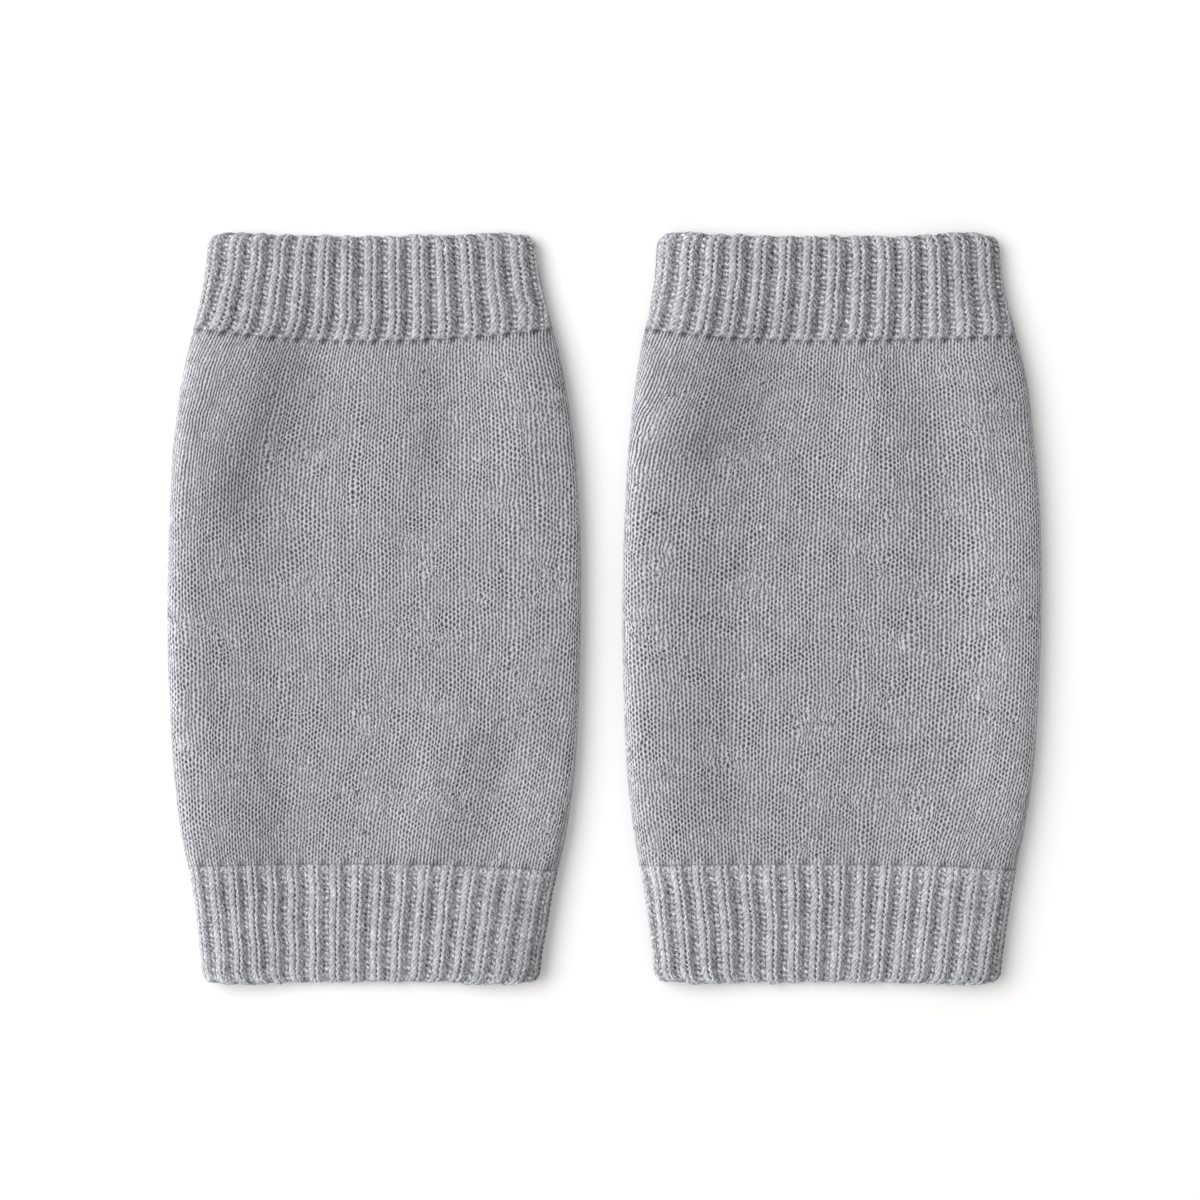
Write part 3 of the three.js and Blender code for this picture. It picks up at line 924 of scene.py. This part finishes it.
def tinted(shader, place, level):
    """The colour of yarn at a brightness, uneven as dyed wool is, and lighter or darker by the painted
    light and shade on its points.
    """
    fibres = shader.noise(2600, 3)
    where = shader.node("ShaderNodeTexCoord", {}, {}, "Object")
    clouds = 0.30 * shader.noise(110, 2, shader.scaled(where, 0.7, 1.6))
    clouds = clouds + 0.25 * shader.noise(420, 1, shader.scaled(where, 0.7, 1.4))
    clouds = clouds + 1.0 * shader.noise(950, 1) - 0.275
    chance = shader.stitch_chance(place)
    uneven = 1 + 1.3 * (fibres - 0.5) + 0.40 * (clouds - 0.5) + 0.14 * (chance - 0.5)
    # The painted light and shade carried on the points lighten or darken the yarn.
    level = level * uneven * shader.attribute("tone")
    return shader.mix(level, grey(0.0), grey(1.0)), fibres


def plain_knit():
    """The body's knitting: light strands, and painted shade in the valleys between wales and in the small
    holes.
    """
    shader = Shader("plain_knit")
    place, u, v = shader.knit()
    openness = shader.attribute("openness")
    muddled = 0.35 + shader.ramp(shader.noise(1.0, 1, shader.scaled(place, 0.14, 0.12)), 0.52, 0.66)
    u = u + 0.6 * muddled * (shader.noise(600, 1) - 0.5)
    v = v + 1.6 * muddled * (shader.noise(520, 1) - 0.5)
    # The holes, which get painted shade.
    holes = shader.spots(u, v, 0.0, 0.0, *HOLE_SIZE)
    holes = holes.math("MAXIMUM", shader.spots(u, v, 0.5, 0.5, *HOLE_SIZE))
    open_knit = 0.55 + 0.9 * shader.patches(place, 0.30, 0.16)
    across = shader.from_middle(u * 2, 0.5).math("ABSOLUTE") * 2
    shaded_valley = shader.ramp(across, 0.15, 0.95) * (1.97 - 0.97 * openness)
    # Near a join the valleys' painted shade deepens and the holes' painted shade fades.
    inside = shader.ramp(shader.attribute("from_join"), 0.3, 1.8)
    level = STRAND + shaded_valley * (VALLEY_SHADE - STRAND + 0.09 * (open_knit - 1)) * (1.25 - 0.25 * inside)
    level = level + holes * openness * open_knit * (HOLE_SHADE - VALLEY_SHADE) * (0.45 + 0.55 * inside)
    level = level * (1 + 0.6 * shader.flecks(1900, 1.5, 0))
    colour, fibres = tinted(shader, place, level.math("MAXIMUM", DARKEST))
    twist = (v * 4 + u * 2).math("FRACT")
    height = 1 - across * across + 0.5 * fibres + 0.15 * twist
    return yarn_finish(shader, colour, height)


# How light a rib looks across its repeat, the yarn's lightness with painted shade in the troughs and holes:
# (share, level).
RIB_LEVELS_WITH_SHADE = {
    "thigh_cuff": [
        (0.00, 0.20), (0.05, 0.20), (0.10, 0.30), (0.16, 0.52), (0.225, 0.54), (0.29, 0.46), (0.40, 0.42),
        (0.44, 0.33), (0.48, 0.39), (0.52, 0.54), (0.56, 0.59), (0.62, 0.49), (0.68, 0.26), (0.80, 0.23),
        (0.90, 0.22), (0.95, 0.18), (1.00, 0.20),
    ],
    "calf_cuff": [
        (0.00, 0.23), (0.05, 0.22), (0.10, 0.29), (0.16, 0.50), (0.225, 0.54), (0.29, 0.54), (0.40, 0.50),
        (0.445, 0.33), (0.48, 0.40), (0.52, 0.57), (0.57, 0.62), (0.63, 0.48), (0.69, 0.29), (0.80, 0.27),
        (0.90, 0.26), (0.95, 0.22), (1.00, 0.23),
    ],
}
RIB_HOLES = {"thigh_cuff": 0.465, "calf_cuff": 0.468}
RIB_CHAIN_SHADE = 0.20  # how dark the painted shade in the lines between its stitches is


def rib_knit(stretch):
    """A cuff's knitting: chains of stitches on the ridges, and bumps and holes in the troughs, with painted
    shade in the holes, the troughs and the lines between stitches.
    """
    shader = Shader(f"{stretch}_knit")
    place, u, v = shader.knit()
    openness = shader.attribute("openness")
    shake = shader.noise(900, 2) - 0.5
    u_shaken = u + 0.04 * shake
    drift = v + 2.6 * (shader.noise(1.0, 1, shader.scaled(place, 0.9, 0.12)) - 0.5) + 0.3 * shake
    level = shader.profile(u_shaken.math("FRACT"), RIB_LEVELS_WITH_SHADE[stretch])
    lively = 0.35 + 1.3 * shader.patches(place, 9, 1.3)
    dark = 0.2 + 1.6 * shader.patches(place, 11, 1.7)
    strong = shader.spots(u, v, RIB_HOLES[stretch], 0.5, 0.045, 0.44, slant=0.08)
    dots = shader.spots(u_shaken, drift, 0.885, 0.0, 0.040, 0.36)
    dots = dots.math("MAXIMUM", shader.spots(u_shaken, drift, 0.115, 0.9, 0.035, 0.30))
    bars = shader.spots(u_shaken, drift, 0.025, 0.4, 0.095, 0.26, tilt=2.2)
    purls = shader.spots(u_shaken, drift, 0.74, 0.2, 0.040, 0.34, slant=0.12)

    from_stitch = shader.from_middle(u, 0.27)
    cuts = shader.strokes(v + 0.5 * shake - 5 * from_stitch)
    cuts = cuts * shader.ramp(from_stitch.math("ABSOLUTE"), 0.17, 0.11)
    from_narrow = shader.from_middle(u, 0.555)
    windings = shader.strokes(v + 0.4 * shake - 7 * from_narrow - 0.25)
    cuts = cuts + 1.2 * windings * shader.ramp(from_narrow.math("ABSOLUTE"), 0.10, 0.06)

    from_trough = shader.from_middle(u_shaken, 0.76).math("ABSOLUTE")
    mesh = shader.strokes(drift + 5 * from_trough) * shader.ramp(from_trough, 0.15, 0.08)

    # Lighter bumps and bars; painted shade in the lines between stitches, the dots and strokes of the
    # troughs and the large holes.
    level = level + lively * (0.16 * purls + 0.24 * bars) - RIB_CHAIN_SHADE * cuts
    level = level - openness * (dark * (0.12 * dots + 0.12 * mesh) + 0.19 * strong)
    from_join = shader.attribute("from_join")
    if stretch == "calf_cuff":
        level = with_chevrons(shader, level, u, from_join)
    else:
        level = JOIN_LEVEL + (level - JOIN_LEVEL) * (0.6 + 0.4 * shader.ramp(from_join, 0.1, 1.3))
    uneven = 2.9 - 3.9 * level.math("MINIMUM", 0.52)
    level = level * (1 + uneven * (shader.flecks(1800, 1.4, 0.35) + 0.8 * shader.flecks(1400, 1.3, -0.4)))
    colour, fibres = tinted(shader, place, level.math("MAXIMUM", DARKEST))
    height = 0.6 - 0.5 * cuts + 0.4 * purls + 0.5 * bars + 0.5 * fibres
    return yarn_finish(shader, colour, height)


def with_chevrons(shader, level, u, from_join):
    """Adds the light chevrons with which the troughs begin at the join, where the ridges are dimmer, with
    painted shade in the troughs' start and in the eye within each chevron.
    """
    level = JOIN_LEVEL + (level - JOIN_LEVEL) * (0.75 + 0.25 * shader.ramp(from_join, 0.1, 0.9))
    trough = shader.ramp(shader.from_middle(u, 0.92).math("ABSOLUTE"), 0.26, 0.20)
    level = level + trough * shader.ramp(from_join, 1.9, 0.9) * (0.25 - level)
    away = shader.from_middle(u, 0.935).math("ABSOLUTE")
    arms = (1 - shader.strokes(from_join - 0.30 - 3.6 * away)) * shader.ramp(away, 0.18, 0.14)
    strength = 0.27 * shader.ramp(from_join, 1.35, 1.1) * shader.ramp(from_join, 0.0, 0.2)
    strength = strength + 0.07 * shader.ramp(from_join, 5, 1.2)
    eye = shader.ramp((from_join - 0.95).math("ABSOLUTE") * 0.2 + away, 0.11, 0.05)
    return level + strength * arms - 0.14 * eye


materials = {"thigh_cuff": rib_knit("thigh_cuff"), "calf_cuff": rib_knit("calf_cuff"), "body": plain_knit()}
pads = {side: Pad(side) for side in PADS}

for side, pad in pads.items():
    for stretch in STRETCHES:
        name = f"{side}_{stretch}"
        sheet = make_body(side, pad) if stretch == "body" else make_cuff(side, pad, stretch)
        piece = sheet.make(f"{name}_knit", materials[stretch])
        low, high = pad.spans[stretch]
        _, along = pad.section((low + high) / 2)
        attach(piece, "root")
        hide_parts(name)
        float(high - low) * MM

# The floor, the light and the camera.
FLOOR_SIZE = 8  # metres
FLOOR_COLOUR = (0.90, 0.90, 0.91, 1)
SKY_COLOUR = (1.0, 0.980, 0.945, 1)
SKY_STRENGTH = 0.66
KEY_SIZE = 1.5  # metres
KEY_ENERGY = 21.2
KEY_PLACE = (-0.930, 0.270, 1.265)  # metres
FRAME_WIDE = 260.4  # how much the camera takes in from side to side, in millimetres
FRAME_MIDDLE = (-0.96, 1.84, 2.5)  # in millimetres too
LENS = 100
FILM = 36

bpy.ops.object.select_all(action="DESELECT")
bpy.ops.mesh.primitive_plane_add(size=FLOOR_SIZE)
floor = bpy.context.object
floor.name = "floor"
paper = Shader("floor_paper")
paper.set(Base_Color=FLOOR_COLOUR, Roughness=0.9, Specular_IOR_Level=0.0)
floor.data.materials.append(paper.material)

world = bpy.data.worlds.new("studio")
world.use_nodes = True
sky = world.node_tree.nodes["Background"]
sky.inputs["Color"].default_value = SKY_COLOUR
sky.inputs["Strength"].default_value = SKY_STRENGTH
bpy.context.scene.world = world

key = bpy.data.lights.new("key", "AREA")
key.shape = "DISK"
key.size = KEY_SIZE
key.energy = KEY_ENERGY
key_lamp = bpy.data.objects.new("key", key)
bpy.context.scene.collection.objects.link(key_lamp)
key_lamp.location = KEY_PLACE
key_lamp.rotation_euler = (-key_lamp.location).to_track_quat("-Z", "Y").to_euler()

lens = bpy.data.cameras.new("camera")
lens.lens = LENS
lens.sensor_width = FILM
camera = bpy.data.objects.new("camera", lens)
bpy.context.scene.collection.objects.link(camera)
middle_x, middle_y, middle_z = FRAME_MIDDLE
camera.location = (middle_x * MM, middle_y * MM, (middle_z + FRAME_WIDE * LENS / FILM) * MM)
bpy.context.scene.camera = camera
bpy.context.scene.view_settings.view_transform = "Standard"
